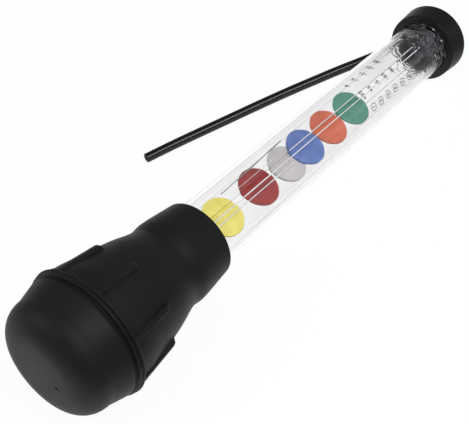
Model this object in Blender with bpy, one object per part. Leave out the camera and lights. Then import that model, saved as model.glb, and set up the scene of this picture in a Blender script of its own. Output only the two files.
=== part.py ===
"""Coolant tester: a rubber bulb draws liquid through a hose into a clear barrel with six floating discs.

The tester lies on its side. Its long axis runs along +X from the bulb to the end cap, with stations measured from the
mouth of the bulb's sleeve. It rests on the bulb's flange and on the end cap's rim, so the axis falls towards the cap.
"""

import math

import bmesh
import bpy
import numpy as np
from mathutils import Vector

# Shared values
fit_gap = 0.0003
cut_overrun = 0.002
round_sides = 40
round_steps = 4
merge_distance = 0.000001
sharp_angle = math.radians(35)

# Discs, each with the free space before it on the bulb's side: in the front row from disc to disc, else from the stop
disc_radius = 0.0085
disc_thickness = 0.0012
disc_chamfer = 0.0002
disc_sides = 32
yellow_space = 0.0075
red_space = 0.0055
blue_space = 0.01535
orange_space = fit_gap
green_space = 0.0007
grey_space = 0.0499

# Disc cage, with the plates that close its ends
cage_roll = math.radians(42.2)
cage_plate = 0.0009
cage_side_wall = 0.0020
cage_slot_width = 0.0022
stop_thickness = 0.0020
stop_depth = 0.0040
stop_hole_radius = 0.0035
plug_thickness = 0.0030
plug_hole_radius = 0.0019
plug_hole_offset = 0.0062
plug_hole_angle = math.radians(52.7)
hole_sides = 24

# Barrel
barrel_wall = 0.00157
barrel_visible_length = 0.1690
barrel_draft = 0.00035
barrel_draft_length = 0.0200
barrel_insertion = 0.0230

# Squeeze bulb, from the sleeve's mouth to the flat end
sleeve_length = 0.0203
sleeve_mouth_wall = 0.0026
sleeve_bead_wall = 0.00405
sleeve_mouth_rounding = 0.0009
shoulder_length = 0.0363
shoulder_radius = 0.0240
flange_thickness = 0.0026
flange_radius = 0.0254
flange_rear_drop = 0.0004
flange_groove_depth = 0.0007
bulb_radius = 0.02416
bulb_groove_depth = 0.0004
cone_length = 0.0090
cone_end_radius = 0.0222
corner_depth = 0.0105
corner_power = 2.18
end_face_radius = 0.0108
bulb_wall = 0.0026
barrel_ledge_length = 0.0022

# Outline of the sleeve: share of its length, share of the way from the mouth's wall to the bead's wall
sleeve_shares = [(0.246, 0.31), (0.443, 0.62), (0.640, 0.90), (0.788, 1.0), (0.936, 0.79), (1.0, 0.72)]
# Outline of the shoulder: share of its length, share of the way from the waist to the shoulder's radius
shoulder_shares = [(0.047, 0.035), (0.129, 0.142), (0.212, 0.270), (0.295, 0.383), (0.377, 0.475), (0.460, 0.560),
                   (0.570, 0.667), (0.680, 0.773), (0.846, 0.943), (0.983, 1.0)]
# Outline of the flange: share of its thickness, share of the groove's depth, share of the rear ridge's drop
flange_shares = [(0.08, 0.5, 0.0), (0.16, 0.0, 0.0), (0.30, 0.0, 0.0), (0.48, 1.0, 0.5), (0.62, 1.0, 0.5),
                 (0.76, 0.0, 1.0), (0.90, 0.0, 1.0)]
bulb_groove_share = 0.08
corner_steps = 7

# Ribs on the shoulder
rib_count = 8
rib_width = 0.0020
rib_first_angle = math.radians(35.7)
rib_root_height = 0.0010
rib_tip_height = 0.0012
rib_length = 0.0185
rib_tip_slope_length = 0.0014
rib_sink = 0.0010

# End cap
cap_length = 0.01135
cap_mouth_wall = 0.00334
cap_flare = 0.0007
cap_edge_rounding = 0.0005
cap_end_wall = 0.0030
collar_radius = 0.0045
collar_length = 0.0060
collar_rounding = 0.0006

# Hose
hose_radius = 0.0024
hose_bore_radius = 0.0015
hose_point_spacing = 0.0027
hose_resolution = 2

# The hose's route in world metres, from the end cap's collar round to its bare end on the surface
hose_route = [
    (0.1329, 0.0000, 0.0167),
    (0.1402, 0.0012, 0.0159),
    (0.1465, 0.0047, 0.0140),
    (0.1508, 0.0102, 0.0114),
    (0.1526, 0.0168, 0.0085),
    (0.1516, 0.0236, 0.0057),
    (0.1481, 0.0299, 0.0037),
    (0.1426, 0.0348, 0.0026),
    (0.1360, 0.0384, 0.0024),
    (0.1297, 0.0424, 0.0024),
    (0.1234, 0.0465, 0.0024),
    (0.1172, 0.0507, 0.0024),
    (0.1051, 0.0580, 0.0024),
    (0.0929, 0.0651, 0.0024),
    (0.0804, 0.0718, 0.0024),
    (0.0676, 0.0782, 0.0024),
    (0.0549, 0.0844, 0.0024),
    (0.0426, 0.0905, 0.0024),
    (0.0302, 0.0964, 0.0024),
    (0.0154, 0.1028, 0.0024),
]

# Derived sizes
half_step = math.pi / round_sides
bottom_flat = -math.pi / 2 + half_step
flat_share = math.cos(half_step)
channel_half_width = disc_radius + fit_gap
layer_height = (disc_thickness + fit_gap) / 2
channel_half_depth = layer_height + disc_thickness / 2 + fit_gap
cage_half_depth = channel_half_depth + cage_plate
cage_half_width = channel_half_width + cage_side_wall
barrel_bore = math.hypot(cage_half_width, cage_half_depth) / flat_share + fit_gap
barrel_radius = barrel_bore + barrel_wall
sleeve_bore = barrel_radius + fit_gap
mouth_radius = sleeve_bore + sleeve_mouth_wall
waist_radius = mouth_radius + sleeve_shares[-1][1] * (sleeve_bead_wall - sleeve_mouth_wall)
waist_station = -sleeve_length
flange_front = waist_station - shoulder_length
flange_back = flange_front - flange_thickness
cone_end = flange_back - cone_length
bulb_end = cone_end - corner_depth
flange_ridge = flange_front - flange_shares[1][0] * flange_thickness
ledge_start = -barrel_insertion - fit_gap
ledge_end = ledge_start - barrel_ledge_length
cap_mouth = barrel_visible_length
cap_bore = barrel_radius - barrel_draft + fit_gap
cap_mouth_radius = cap_bore + cap_mouth_wall
cap_rim_radius = cap_mouth_radius + cap_flare
cap_end = cap_mouth + cap_length
cap_rim = cap_end - cap_edge_rounding
cap_floor = cap_end - cap_end_wall
collar_end = cap_end + collar_length
barrel_end = cap_floor - fit_gap
plug_start = barrel_end - fit_gap - plug_thickness
stop_end = stop_thickness - stop_depth
cage_start = stop_end + fit_gap
cage_end = plug_start - fit_gap

# Each disc: name, row in the cage (1 front, -1 back), free space before it, colour
discs = [
    ("disc_yellow", 1, yellow_space, (0.85, 0.78, 0.06)),
    ("disc_red", 1, red_space, (0.42, 0.02, 0.03)),
    ("disc_blue", 1, blue_space, (0.06, 0.13, 0.48)),
    ("disc_orange", 1, orange_space, (0.70, 0.12, 0.04)),
    ("disc_green", 1, green_space, (0.08, 0.34, 0.21)),
    ("disc_grey", -1, grey_space, (0.56, 0.53, 0.53)),
]

# Where the tester lies: on the flats under the flange and under the cap's rim, its middle over the origin
tilt = math.atan((flange_radius - cap_rim_radius) * flat_share / (cap_rim - flange_ridge))
mouth_height = flange_ridge * math.sin(tilt) + flange_radius * flat_share * math.cos(tilt)
low_x = bulb_end * math.cos(tilt) - end_face_radius * math.sin(tilt)
high_x = collar_end * math.cos(tilt) + collar_radius * math.sin(tilt)
mouth_x = -(low_x + high_x) / 2


def clear_scene():
    """Remove every object, mesh, curve and material."""
    for thing in list(bpy.data.objects):
        bpy.data.objects.remove(thing, do_unlink=True)
    for group in (bpy.data.meshes, bpy.data.curves, bpy.data.materials):
        for block in list(group):
            group.remove(block)


def make_material(name, colour, roughness, metallic=0.0, alpha=1.0):
    """A Principled BSDF material."""
    material = bpy.data.materials.new(name)
    material.use_nodes = True
    shader = material.node_tree.nodes["Principled BSDF"]
    shader.inputs["Base Color"].default_value = (*colour, 1.0)
    shader.inputs["Roughness"].default_value = roughness
    shader.inputs["Metallic"].default_value = metallic
    shader.inputs["Alpha"].default_value = alpha
    material.diffuse_color = (*colour, alpha)
    return material


def place(name, data, parent, material, location=(0, 0, 0), rotation=(0, 0, 0)):
    """Put a mesh or a curve in the scene as one named object."""
    thing = bpy.data.objects.new(name, data)
    bpy.context.scene.collection.objects.link(thing)
    thing.parent = parent
    thing.location = location
    thing.rotation_euler = rotation
    if material:
        data.materials.append(material)
    return thing


def place_empty(name, parent, location, rotation):
    """A frame that other pieces are placed in."""
    frame = bpy.data.objects.new(name, None)
    bpy.context.scene.collection.objects.link(frame)
    frame.parent = parent
    frame.location = location
    frame.rotation_euler = rotation
    return frame


def finish_mesh(shape, name):
    """Turn a bmesh into a smooth-shaded mesh with its faces pointing out."""
    bmesh.ops.recalc_face_normals(shape, faces=shape.faces)
    mesh = bpy.data.meshes.new(name)
    shape.to_mesh(mesh)
    shape.free()
    mesh.shade_smooth()
    mesh.set_sharp_from_angle(angle=sharp_angle)
    return mesh


def turned(name, outline, closed):
    """Turn an outline of (station, radius) points about the long axis, with a flat of the facets at the bottom."""
    shape = bmesh.new()
    corners = [shape.verts.new((x, r * math.cos(bottom_flat), r * math.sin(bottom_flat))) for x, r in outline]
    pairs = list(zip(corners, corners[1:]))
    if closed:
        pairs.append((corners[-1], corners[0]))
    edges = [shape.edges.new(pair) for pair in pairs]
    bmesh.ops.spin(shape, geom=corners + edges, cent=(0, 0, 0), axis=(1, 0, 0), angle=2 * math.pi,
                   steps=round_sides, use_merge=True)
    bmesh.ops.remove_doubles(shape, verts=shape.verts, dist=merge_distance)
    return finish_mesh(shape, name)


def rounded(point, before, after, radius):
    """Points of a quarter arc that rounds one corner of an outline, between its two neighbours."""
    middle = Vector(point)
    start = (Vector(before) - middle).normalized() * radius
    stop = (Vector(after) - middle).normalized() * radius
    turns = [math.pi / 2 * i / round_steps for i in range(round_steps + 1)]
    return [tuple(middle + start * (1 - math.sin(t)) + stop * (1 - math.cos(t))) for t in turns]


def extruded(name, section, start, end):
    """Extrude a closed (y, z) section along the long axis."""
    shape = bmesh.new()
    face = shape.faces.new([shape.verts.new((start, y, z)) for y, z in section])
    grown = bmesh.ops.extrude_face_region(shape, geom=[face])
    moved = [item for item in grown["geom"] if isinstance(item, bmesh.types.BMVert)]
    bmesh.ops.translate(shape, verts=moved, vec=(end - start, 0, 0))
    return finish_mesh(shape, name)


def boolean(thing, other, operation):
    """Add a live Boolean modifier, and hide the other object as a guide."""
    cut = thing.modifiers.new(operation.lower(), "BOOLEAN")
    cut.operation = operation
    cut.solver = "EXACT"
    cut.object = other
    other.hide_render = True
    other.display_type = "WIRE"


def bulb_outline():
    """The bulb's outline, from the middle of its flat end along the outside to the mouth, then back inside."""
    outer = rounded((0, mouth_radius), (0, sleeve_bore), (waist_station, mouth_radius), sleeve_mouth_rounding)
    for along, thick in sleeve_shares:
        radius = mouth_radius + thick * (sleeve_bead_wall - sleeve_mouth_wall)
        outer.append((-along * sleeve_length, radius))
    shoulder = [(waist_station - along * shoulder_length, waist_radius + up * (shoulder_radius - waist_radius))
                for along, up in shoulder_shares]
    flange = [(flange_front - along * flange_thickness,
               flange_radius - deep * flange_groove_depth - drop * flange_rear_drop)
              for along, deep, drop in flange_shares]
    groove = [(flange_back, bulb_radius - bulb_groove_depth),
              (flange_back - bulb_groove_share * cone_length, bulb_radius - bulb_groove_depth / 2),
              (flange_back - 2 * bulb_groove_share * cone_length, bulb_radius)]
    outer += shoulder + flange + groove + bulb_corner(0)
    outer.append((bulb_end, 0))
    inner = [(bulb_end + bulb_wall, 0)] + bulb_corner(bulb_wall)[::-1]
    inner.append((flange_back, bulb_radius - bulb_wall))
    inner += [(x, r - bulb_wall) for x, r in shoulder[::-1] if x < ledge_end - bulb_wall]
    inner += [(ledge_end, barrel_bore), (ledge_start, barrel_bore), (ledge_start, sleeve_bore), (0, sleeve_bore)]
    return outer[::-1] + inner[::-1]


def bulb_corner(inset):
    """The bulb's rounded corner between its cone and its flat end, at some depth under the surface."""
    high = cone_end_radius - inset
    low = end_face_radius - inset
    deep = corner_depth - inset
    points = []
    for i in range(corner_steps + 1):
        turn = math.pi / 2 * i / corner_steps
        along = math.sin(turn) ** (2 / corner_power)
        up = math.cos(turn) ** (2 / corner_power)
        points.append((cone_end - along * deep, low + up * (high - low)))
    return points


def rib_section():
    """One rib's outline in the plane through the long axis: tip, straight top edge, root at the flange."""
    tip = flange_front + rib_length
    root = flange_front - flange_thickness * flange_shares[0][0]
    full = tip - rib_tip_slope_length
    return [(tip, surface(tip) - rib_sink), (tip, surface(tip)), (full, surface(full) + rib_tip_height),
            (root, shoulder_radius + rib_root_height), (root, shoulder_radius - rib_sink),
            (full, surface(full) - rib_sink)]


def surface(station):
    """The shoulder's outer radius at a station."""
    along = [0] + [share for share, up in shoulder_shares] + [1]
    up = [0] + [rise for share, rise in shoulder_shares] + [1]
    share = (waist_station - station) / shoulder_length
    return waist_radius + np.interp(share, along, up) * (shoulder_radius - waist_radius)


def make_ribs(parent):
    """The shoulder's ribs, as one guide that the bulb is joined to."""
    shape = bmesh.new()
    for i in range(rib_count):
        angle = rib_first_angle + 2 * math.pi * i / rib_count
        out = Vector((0, math.cos(angle), math.sin(angle)))
        side = Vector((0, -math.sin(angle), math.cos(angle))) * rib_width
        corners = [Vector((x, 0, 0)) + out * r - side / 2 for x, r in rib_section()]
        face = shape.faces.new([shape.verts.new(point) for point in corners])
        grown = bmesh.ops.extrude_face_region(shape, geom=[face])
        moved = [item for item in grown["geom"] if isinstance(item, bmesh.types.BMVert)]
        bmesh.ops.translate(shape, verts=moved, vec=side)
    return place("rib_guide", finish_mesh(shape, "rib_guide"), parent, None)


def make_bulb(parent):
    """The hollow rubber bulb with its flange, ribs and sleeve."""
    rubber = make_material("bulb_rubber", (0.012, 0.012, 0.013), 0.48)
    bulb = place("squeeze_bulb", turned("squeeze_bulb", bulb_outline(), closed=False), parent, rubber)
    boolean(bulb, make_ribs(parent), "UNION")


def make_barrel(parent):
    """The clear barrel, slightly thinner where the cap sits."""
    seat = barrel_radius - barrel_draft
    outline = [(-barrel_insertion, barrel_bore), (-barrel_insertion, barrel_radius),
               (cap_mouth - barrel_draft_length, barrel_radius), (cap_mouth, seat), (barrel_end, seat),
               (barrel_end, barrel_bore)]
    clear = make_material("barrel_clear", (0.86, 0.88, 0.88), 0.05, alpha=0.3)
    place("barrel", turned("barrel", outline, closed=True), parent, clear)


def make_cap(parent):
    """The rubber end cap: a cup over the barrel's end with a bored collar for the hose."""
    mouth_low = (cap_mouth, cap_bore)
    mouth_high = (cap_mouth, cap_mouth_radius)
    rim = (cap_end, cap_rim_radius)
    foot = (cap_end, collar_radius)
    tip_high = (collar_end, collar_radius)
    tip_low = (collar_end, hose_bore_radius)
    outline = [(cap_floor, cap_bore), mouth_low]
    outline += rounded(mouth_high, mouth_low, rim, cap_edge_rounding)
    outline += rounded(rim, mouth_high, foot, cap_edge_rounding)
    outline.append(foot)
    outline += rounded(tip_high, foot, tip_low, collar_rounding)
    outline += [tip_low, (cap_floor, hose_bore_radius)]
    rubber = make_material("cap_rubber", (0.012, 0.012, 0.013), 0.42)
    place("end_cap", turned("end_cap", outline, closed=True), parent, rubber)


def smooth_route(route, spacing):
    """Points at even spacing on the smooth curve through the route's points (a natural cubic spline)."""
    points = np.array(route)
    steps = np.linalg.norm(np.diff(points, axis=0), axis=1)
    knots = np.concatenate([[0], np.cumsum(steps)])
    count = len(points)
    rows = np.eye(count)
    bends = np.zeros((count, 3))
    for i in range(1, count - 1):
        rows[i, i - 1:i + 2] = steps[i - 1], 2 * (steps[i - 1] + steps[i]), steps[i]
        bends[i] = 6 * ((points[i + 1] - points[i]) / steps[i] - (points[i] - points[i - 1]) / steps[i - 1])
    second = np.linalg.solve(rows, bends)
    fine = np.linspace(0, knots[-1], round(knots[-1] / spacing) + 1)
    left = np.clip(np.searchsorted(knots, fine, side="right") - 1, 0, count - 2)
    width = steps[left][:, None]
    b = (fine - knots[left])[:, None] / width
    a = 1 - b
    curve = a * points[left] + b * points[left + 1]
    curve += ((a ** 3 - a) * second[left] + (b ** 3 - b) * second[left + 1]) * width ** 2 / 6
    curve[:, 2] = np.maximum(curve[:, 2], hose_radius)
    return curve


def make_hose():
    """The free hose, from the cap's collar to its bare end on the surface."""
    curve = bpy.data.curves.new("hose", "CURVE")
    curve.dimensions = "3D"
    curve.bevel_depth = hose_radius
    curve.bevel_resolution = hose_resolution
    curve.use_fill_caps = True
    points = smooth_route(hose_route, hose_point_spacing)
    line = curve.splines.new("POLY")
    line.points.add(len(points) - 1)
    line.points.foreach_set("co", np.column_stack([points, np.ones(len(points))]).ravel())
    place("hose", curve, None, make_material("hose_black", (0.010, 0.010, 0.011), 0.22))


def make_cage(channel):
    """The clear flat channel round the discs, with a slot along the middle of its front plate."""
    wide = cage_half_width
    deep = cage_half_depth
    inside = channel_half_width
    depth = channel_half_depth
    slot = cage_slot_width / 2
    section = [(slot, deep), (wide, deep), (wide, -deep), (-wide, -deep), (-wide, deep), (-slot, deep),
               (-slot, depth), (-inside, depth), (-inside, -depth), (inside, -depth), (inside, depth), (slot, depth)]
    clear = make_material("cage_clear", (0.86, 0.88, 0.88), 0.06, alpha=0.3)
    place("disc_cage", extruded("disc_cage", section, cage_start, cage_end), channel, clear)


def make_stop(parent):
    """The plate with a hole that keeps the discs out of the bulb."""
    rim = barrel_bore - fit_gap
    outline = [(-stop_depth, stop_hole_radius), (-stop_depth, rim), (stop_end, rim), (stop_end, stop_hole_radius)]
    clear = make_material("stop_clear", (0.86, 0.88, 0.88), 0.06, alpha=0.3)
    place("disc_stop", turned("disc_stop", outline, closed=True), parent, clear)


def make_plug(parent):
    """The plate at the cap's end of the cage, with its inlet hole off the middle."""
    rim = barrel_bore - fit_gap
    plug_end = plug_start + plug_thickness
    outline = [(plug_start, 0), (plug_start, rim), (plug_end, rim), (plug_end, 0)]
    clear = make_material("plug_clear", (0.60, 0.58, 0.66), 0.10, alpha=0.5)
    plug = place("inlet_plug", turned("inlet_plug", outline, closed=False), parent, clear)
    drill = bmesh.new()
    bmesh.ops.create_cone(drill, cap_ends=True, segments=hole_sides, radius1=plug_hole_radius,
                          radius2=plug_hole_radius, depth=plug_thickness + 2 * cut_overrun)
    side = (plug_start + plug_thickness / 2, plug_hole_offset * math.cos(plug_hole_angle),
            plug_hole_offset * math.sin(plug_hole_angle))
    guide = place("drill_guide", finish_mesh(drill, "drill_guide"), parent, None, side, (0, math.pi / 2, 0))
    boolean(plug, guide, "DIFFERENCE")


def make_discs(channel):
    """The six loose discs, each with its origin at its centre."""
    edge = stop_end
    for name, row, space, colour in discs:
        before = edge if row > 0 else stop_end
        station = before + space + disc_radius
        if row > 0:
            edge = station + disc_radius
        shape = bmesh.new()
        bmesh.ops.create_cone(shape, cap_ends=True, segments=disc_sides, radius1=disc_radius, radius2=disc_radius,
                              depth=disc_thickness)
        rims = [line for line in shape.edges if any(len(face.verts) > 4 for face in line.link_faces)]
        bmesh.ops.bevel(shape, geom=rims, offset=disc_chamfer, segments=1, affect="EDGES")
        place(name, finish_mesh(shape, name), channel, make_material(name + "_colour", colour, 0.35),
              (station, 0, row * layer_height))


def main():
    """Build the whole tester."""
    clear_scene()
    tester = place_empty("tester_frame", None, (mouth_x, 0, mouth_height), (0, tilt, 0))
    channel = place_empty("channel_frame", tester, (0, 0, 0), (cage_roll, 0, 0))
    make_bulb(tester)
    make_barrel(tester)
    make_cage(channel)
    make_stop(tester)
    make_plug(tester)
    make_discs(channel)
    make_cap(tester)
    make_hose()


if __name__ == "__main__":
    main()
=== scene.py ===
"""Coolant tester: the looks of its rubber bulb and cap, clear barrel, float discs, printed scale and hose.

Lengths are in metres. Most pieces are worked out in the tester's own frame, whose stations run along the
barrel from the mouth of the bulb's sleeve towards the end cap, and are then laid into the world where the
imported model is.
"""

import math

import bmesh
import bpy
import numpy as np
from mathutils import Matrix


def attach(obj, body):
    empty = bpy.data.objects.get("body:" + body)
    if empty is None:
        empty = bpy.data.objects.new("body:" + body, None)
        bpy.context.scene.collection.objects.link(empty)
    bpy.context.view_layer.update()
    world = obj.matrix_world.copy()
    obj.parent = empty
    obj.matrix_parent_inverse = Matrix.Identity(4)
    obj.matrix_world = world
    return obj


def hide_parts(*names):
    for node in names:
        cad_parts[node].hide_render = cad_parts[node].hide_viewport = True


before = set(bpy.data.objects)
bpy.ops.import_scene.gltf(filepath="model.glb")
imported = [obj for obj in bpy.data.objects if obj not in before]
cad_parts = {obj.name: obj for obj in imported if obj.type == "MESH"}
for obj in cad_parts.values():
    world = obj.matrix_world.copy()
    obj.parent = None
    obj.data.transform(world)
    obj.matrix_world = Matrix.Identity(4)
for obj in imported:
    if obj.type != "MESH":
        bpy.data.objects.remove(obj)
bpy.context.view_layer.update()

# Where the tester lies
tilt = 0.03537573
mouth_place = np.array([-0.05367991, 0.0, 0.0232893])
axis_along = np.array([math.cos(tilt), 0.0, -math.sin(tilt)])
axis_side = np.array([0.0, 1.0, 0.0])
axis_high = np.array([math.sin(tilt), 0.0, math.cos(tilt)])
cage_roll = math.radians(42.2)
front_angle = cage_roll + math.pi / 2

# Sizes shared by several pieces
fit_gap = 0.0003
barrel_start = -0.0230
barrel_radius = 0.01300127
barrel_wall = 0.00157
barrel_bore = barrel_radius - barrel_wall
merge_distance = 0.0000001
sharp_angle = math.radians(40)

# Squeeze bulb: its sleeve from the mouth to the waist, with shares of the length and of the bead's rise
mouth_wall = 0.0026
bead_wall = 0.00405
mouth_rounding = 0.0009
sleeve_bore = barrel_radius + fit_gap
mouth_radius = sleeve_bore + mouth_wall
sleeve_shares = [(0.246, 0.31), (0.443, 0.62), (0.640, 0.90), (0.788, 1.0), (0.936, 0.79), (1.0, 0.72)]
waist_station = -0.0203
waist_radius = mouth_radius + sleeve_shares[-1][1] * (bead_wall - mouth_wall)

# Its shoulder and flange. The flange has shares of its thickness, of the groove's depth and of the drop
# behind the groove
shoulder_length = 0.0363
shoulder_radius = 0.0240
shoulder_shares = [(0.047, 0.035), (0.129, 0.142), (0.212, 0.270), (0.295, 0.383), (0.377, 0.475),
                   (0.460, 0.560), (0.570, 0.667), (0.680, 0.773), (0.846, 0.943), (0.983, 1.0)]
flange_thickness = 0.0026
flange_radius = 0.0254
flange_rear_drop = 0.0004
flange_groove_depth = 0.0007
flange_root_lift = 0.0002
flange_front = waist_station - shoulder_length
flange_rear = flange_front - flange_thickness
flange_shares = [(0.06, 0.6, 0.0), (0.14, 0.08, 0.0), (0.22, 0.0, 0.0), (0.34, 0.1, 0.0), (0.44, 0.75, 0.3),
                 (0.55, 1.0, 0.5), (0.66, 0.75, 0.8), (0.74, 0.1, 1.0), (0.82, 0.0, 1.0), (0.92, 0.1, 1.0),
                 (0.97, 0.5, 1.0)]

# Its round end. The groove's points are a distance behind the flange and a share of the groove's depth
bulb_radius = 0.02416
bulb_groove_depth = 0.0004
bulb_groove = [(0.0001, 1.0), (0.0008, 0.6), (0.0017, 0.0)]
cone_length = 0.0090
cone_end_radius = 0.0222
cone_end = flange_rear - cone_length
corner_depth = 0.0105
corner_power = 2.18
end_face_radius = 0.0108
bulb_end = cone_end - corner_depth
bulb_wall = 0.0026
ledge_start = barrel_start - fit_gap
ledge_length = 0.0022

# Ribs on the shoulder
rib_count = 8
rib_pitch = 2 * math.pi / rib_count
rib_first_angle = math.radians(35.7)
rib_width = 0.0018
rib_root_height = 0.0010
rib_tip_height = 0.0017
rib_length = 0.0185
rib_tip_slope = 0.0014
rib_fillet = 0.0007
rib_overlap = 0.0003

# Marks of moulding on the bulb: a nick in the end face and a burr on the flange
nick_side = -0.0064
nick_high = -0.0040
nick_turn = math.radians(42)
nick_half_length = 0.0015
nick_half_width = 0.0006
nick_depth = 0.0005
burr_angle = math.radians(79)
burr_width = 0.0009
burr_height = 0.00035

# Barrel and end cap
barrel_draft = 0.00035
barrel_draft_length = 0.0200
barrel_edge = 0.0002
barrel_columns = 192
cap_mouth = 0.1690
cap_length = 0.01135
cap_mouth_wall = 0.00334
cap_mouth_lift = 0.00003
cap_flare = 0.0007
cap_end_wall = 0.0030
cap_rounding = 0.0005
cap_face_edge = 0.0010
cap_columns = 160
cap_bore = barrel_radius - barrel_draft + fit_gap
cap_mouth_radius = cap_bore + cap_mouth_wall
cap_rim_radius = cap_mouth_radius + cap_flare
cap_end = cap_mouth + cap_length
cap_floor = cap_end - cap_end_wall
barrel_end = cap_floor - fit_gap
collar_radius = 0.0045
collar_length = 0.0060
collar_end = cap_end + collar_length
collar_rounding = 0.0006

# Discs: colour, station, row in the cage (1 front, -1 back), deep tint, pale tint
disc_radius = 0.0085
disc_thickness = 0.0012
disc_edge = 0.00028
disc_columns = 96
row_height = (disc_thickness + fit_gap) / 2
discs = [
    ("yellow", 0.0140, 1, (0.78, 0.69, 0.12), (0.90, 0.81, 0.20)),
    ("red", 0.0365, 1, (0.25, 0.014, 0.013), (0.38, 0.028, 0.024)),
    ("blue", 0.06885, 1, (0.075, 0.14, 0.39), (0.135, 0.225, 0.54)),
    ("orange", 0.08615, 1, (0.56, 0.11, 0.048), (0.70, 0.155, 0.073)),
    ("green", 0.10385, 1, (0.058, 0.255, 0.172), (0.094, 0.33, 0.226)),
    ("grey", 0.0564, -1, (0.53, 0.50, 0.495), (0.63, 0.60, 0.595)),
]

# Disc cage
cage_plate = 0.0009
cage_side_wall = 0.0020
channel_half_width = disc_radius + fit_gap
channel_half_depth = row_height + disc_thickness / 2 + fit_gap
cage_half_width = channel_half_width + cage_side_wall
cage_half_depth = channel_half_depth + cage_plate
cage_start = -0.0017
cage_end = 0.17345
cage_side_radius = 0.0021
cage_edge_radius = 0.00015
slot_low = 0.0004
slot_high = 0.0024

# Painted light strips on the cage's front: width, then the path as (station, across). The white ones are
# painted
# # highlights that stand for the light the clear cage's slot and edges catch. The side edge's strip is grey:
# painted shade for
# # the dark line along that edge
bead_gap = 0.00005
bead_height = 0.00025
cage_highlight_strips = [
    (0.00050, [(cage_start, 0.0002), (0.1615, 0.0002)]),
    (0.00042, [(0.0600, 0.00265), (0.1610, 0.00265)]),
    (0.00042, [(cage_start, -0.0021), (0.0580, -0.0021)]),
    (0.00022, [(0.0270, 0.0043), (0.0500, 0.0043)]),
    (0.00040, [(0.1250, 0.0094), (0.1560, 0.0094), (0.1608, 0.0084), (0.1626, 0.0060), (0.1630, 0.0030)]),
]
edge_shade_strip = (0.00045, [(0.0200, 0.0069), (0.0397, 0.0074), (0.0608, 0.0082)])

# Clear fingers round the plug: each one's place across the cage and its side (1 front, -1 back)
finger_places = [(-0.0052, 1), (0.0008, 1), (0.0062, 1), (-0.0040, -1), (0.0040, -1)]
finger_start = 0.1630
finger_end = 0.1730
finger_reach = 0.0111
finger_width = 0.0010
finger_rounding = 0.0030
finger_edge = 0.0001

# Printed scale: each column's first station, its arc round the barrel from the front, and its figures
scale_pitch = 0.0061
figure_columns = [(0.1031, -0.0014, ["+25", "+5", "-5", "-25", "-40"]),
                  (0.1025, 0.0063, ["-4", "-15", "-21", "-32", "-40"])]
figure_height = 0.0029
ring_column = (0.1050, -0.0086)
ring_count = 6
ring_radius = 0.0017
ring_line = 0.00027
ring_columns = 36
ring_figure_height = 0.0024
rule_place = (0.1010, -0.0051)
rule_length = 0.0340
rule_width = 0.00016
ink_spread = 0.00006
ink_half = 0.00001
ink_lift = 0.00002

# Hose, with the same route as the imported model's hose
hose_radius = 0.0024
hose_bore = 0.0015
hose_bore_depth = 0.0180
hose_lip = 0.0004
hose_step = 0.0008
hose_columns = 28
hose_route = [
    (0.1329, 0.0000, 0.0167),
    (0.1402, 0.0012, 0.0159),
    (0.1465, 0.0047, 0.0140),
    (0.1508, 0.0102, 0.0114),
    (0.1526, 0.0168, 0.0085),
    (0.1516, 0.0236, 0.0057),
    (0.1481, 0.0299, 0.0037),
    (0.1426, 0.0348, 0.0026),
    (0.1360, 0.0384, 0.0024),
    (0.1297, 0.0424, 0.0024),
    (0.1234, 0.0465, 0.0024),
    (0.1172, 0.0507, 0.0024),
    (0.1051, 0.0580, 0.0024),
    (0.0929, 0.0651, 0.0024),
    (0.0804, 0.0718, 0.0024),
    (0.0676, 0.0782, 0.0024),
    (0.0549, 0.0844, 0.0024),
    (0.0426, 0.0905, 0.0024),
    (0.0302, 0.0964, 0.0024),
    (0.0154, 0.1028, 0.0024),
]

# Clear plastic: drawn streaks, moulding swirls near the cap, the plug's facets, and the light let through
streak_stretch = 50.0
streak_scale = 420.0
swirl_scale = 130.0
swirl_start = 0.152
swirl_full = 0.162
facet_scale = 330.0
facet_depth = 0.0024
clear_shadow = (0.94, 0.94, 0.95, 1.0)

# Room: a grey sky with a white backdrop behind the tester, and how far the floor looks white to reflections
# and to rays through clear plastic: beside the barrel and, farther out, beside the bulb
room_level = 0.25
backdrop_low = 0.05
backdrop_high = 0.32
backdrop_side_low = -0.2
backdrop_side_high = 0.3
viewer_side = (-0.670, -0.742, 0.0)
barrel_side = (0.0, -1.0, 0.0)
viewer_level = 0.30
table_near = 0.004
table_far = 0.032
bulb_side = (1.0, 0.0, 0.0)
bulb_floor_end = -0.055
barrel_floor_start = 0.010
bulb_table_near = 0.025
bulb_table_far = 0.055
floor_size = 3.0
floor_level = -0.00009
floor_share = 0.9
floor_white = 1.05
floor_extra = 0.13
lamp_target = np.array([0.0, 0.02, 0.02])


# Frames

def tester_place(x, y, z):
    """World points from the tester's own frame: the mouth's place plus each coordinate times its axis."""
    x, y, z = np.broadcast_arrays(x, y, z)
    return mouth_place + x[..., None] * axis_along + y[..., None] * axis_side + z[..., None] * axis_high


def round_place(x, radius, angle):
    """World points at a radius and an angle about the long axis, angles from the side towards up."""
    return tester_place(x, radius * np.cos(angle), radius * np.sin(angle))


def cage_place(x, across, out):
    """World points in the cage's frame, which is the tester's frame rolled about the long axis."""
    y = across * math.cos(cage_roll) - out * math.sin(cage_roll)
    z = across * math.sin(cage_roll) + out * math.cos(cage_roll)
    return tester_place(x, y, z)


# Mesh tools

def build_mesh(name, points, faces):
    """A smooth mesh from points and faces, its doubles merged and its faces turned outwards."""
    mesh = bpy.data.meshes.new(name)
    mesh.from_pydata(points, [], faces)
    shape = bmesh.new()
    shape.from_mesh(mesh)
    bmesh.ops.remove_doubles(shape, verts=shape.verts, dist=merge_distance)
    bmesh.ops.dissolve_degenerate(shape, edges=shape.edges, dist=merge_distance)
    bmesh.ops.recalc_face_normals(shape, faces=shape.faces)
    shape.to_mesh(mesh)
    shape.free()
    mesh.shade_smooth()
    mesh.set_sharp_from_angle(angle=sharp_angle)
    return mesh


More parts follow.
